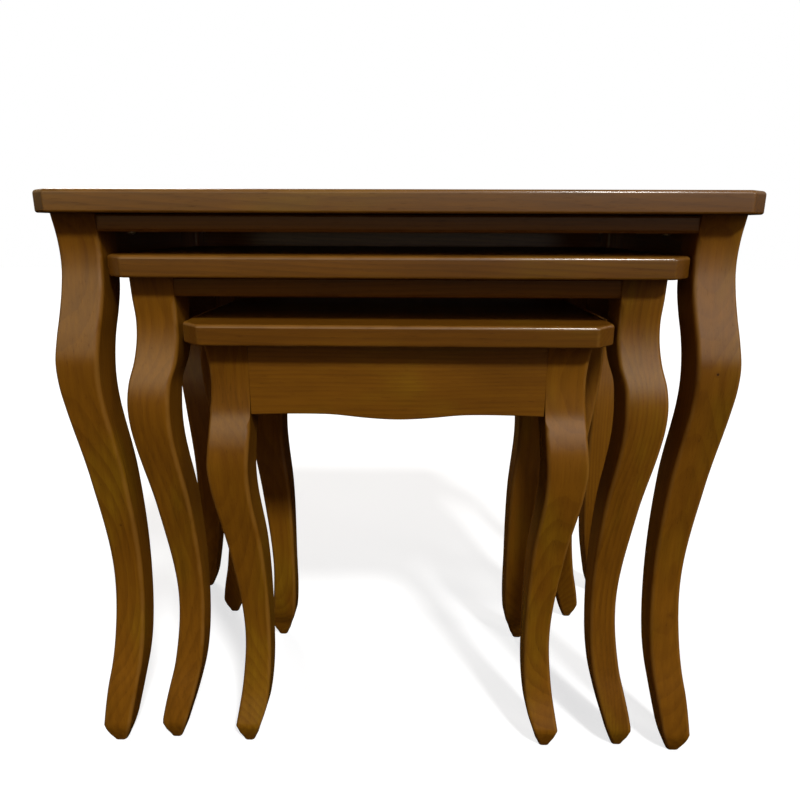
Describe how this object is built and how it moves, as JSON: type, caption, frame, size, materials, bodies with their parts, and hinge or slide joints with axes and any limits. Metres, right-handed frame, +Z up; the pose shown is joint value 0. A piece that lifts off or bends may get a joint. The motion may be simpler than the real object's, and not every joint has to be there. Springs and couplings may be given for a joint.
{
  "type": "nesting tables",
  "caption": "Nest of occasional tables on sawn S-curved legs with clipped-corner tops; each smaller table slides out from under the next.",
  "frame": {"origin": "on the floor, under the middle of the large table", "axes": "+X along the length of the tables, to the right seen from the front; -Y towards the front, the side the smaller tables slide out of; +Z up"},
  "size_m": [0.6, 0.328, 0.5425],
  "materials": {
    "stained_wood": "walnut-brown stain under semi-gloss varnish",
    "brace_wood": "bare sawn softwood",
    "screw_steel": "zinc-plated steel"
  },
  "bodies": {
    "large_table": {"large_back_apron": "stained_wood", "large_brace_back_left": "brace_wood", "large_brace_back_right": "brace_wood", "large_brace_front_left": "brace_wood", "large_brace_front_right": "brace_wood", "large_front_rail": "stained_wood", "large_leg_back_left": "stained_wood", "large_leg_back_right": "stained_wood", "large_leg_front_left": "stained_wood", "large_leg_front_right": "stained_wood", "large_side_apron_left": "stained_wood", "large_side_apron_right": "stained_wood", "large_top": "stained_wood", "large_top_screw_back_left": "screw_steel", "large_top_screw_back_right": "screw_steel", "large_top_screw_front_left": "screw_steel", "large_top_screw_front_right": "screw_steel"},
    "middle_table": {"middle_back_apron": "stained_wood", "middle_brace_back_left": "brace_wood", "middle_brace_back_right": "brace_wood", "middle_brace_front_left": "brace_wood", "middle_brace_front_right": "brace_wood", "middle_front_rail": "stained_wood", "middle_leg_back_left": "stained_wood", "middle_leg_back_right": "stained_wood", "middle_leg_front_left": "stained_wood", "middle_leg_front_right": "stained_wood", "middle_side_apron_left": "stained_wood", "middle_side_apron_right": "stained_wood", "middle_top": "stained_wood", "middle_top_screw_back_left": "screw_steel", "middle_top_screw_back_right": "screw_steel", "middle_top_screw_front_left": "screw_steel", "middle_top_screw_front_right": "screw_steel"},
    "small_table": {"small_back_apron": "stained_wood", "small_brace_back_left": "brace_wood", "small_brace_back_right": "brace_wood", "small_brace_front_left": "brace_wood", "small_brace_front_right": "brace_wood", "small_front_apron": "stained_wood", "small_leg_back_left": "stained_wood", "small_leg_back_right": "stained_wood", "small_leg_front_left": "stained_wood", "small_leg_front_right": "stained_wood", "small_side_apron_left": "stained_wood", "small_side_apron_right": "stained_wood", "small_top": "stained_wood", "small_top_screw_back_left": "screw_steel", "small_top_screw_back_right": "screw_steel", "small_top_screw_front_left": "screw_steel", "small_top_screw_front_right": "screw_steel"}
  },
  "joints": [
    {"name": "middle_slide", "type": "slide", "parent": "large_table", "child": "middle_table", "axis": [0, -1, 0], "range_m": [0, 0.3]},
    {"name": "small_slide", "type": "slide", "parent": "middle_table", "child": "small_table", "axis": [0, -1, 0], "range_m": [0, 0.24]}
  ]
}
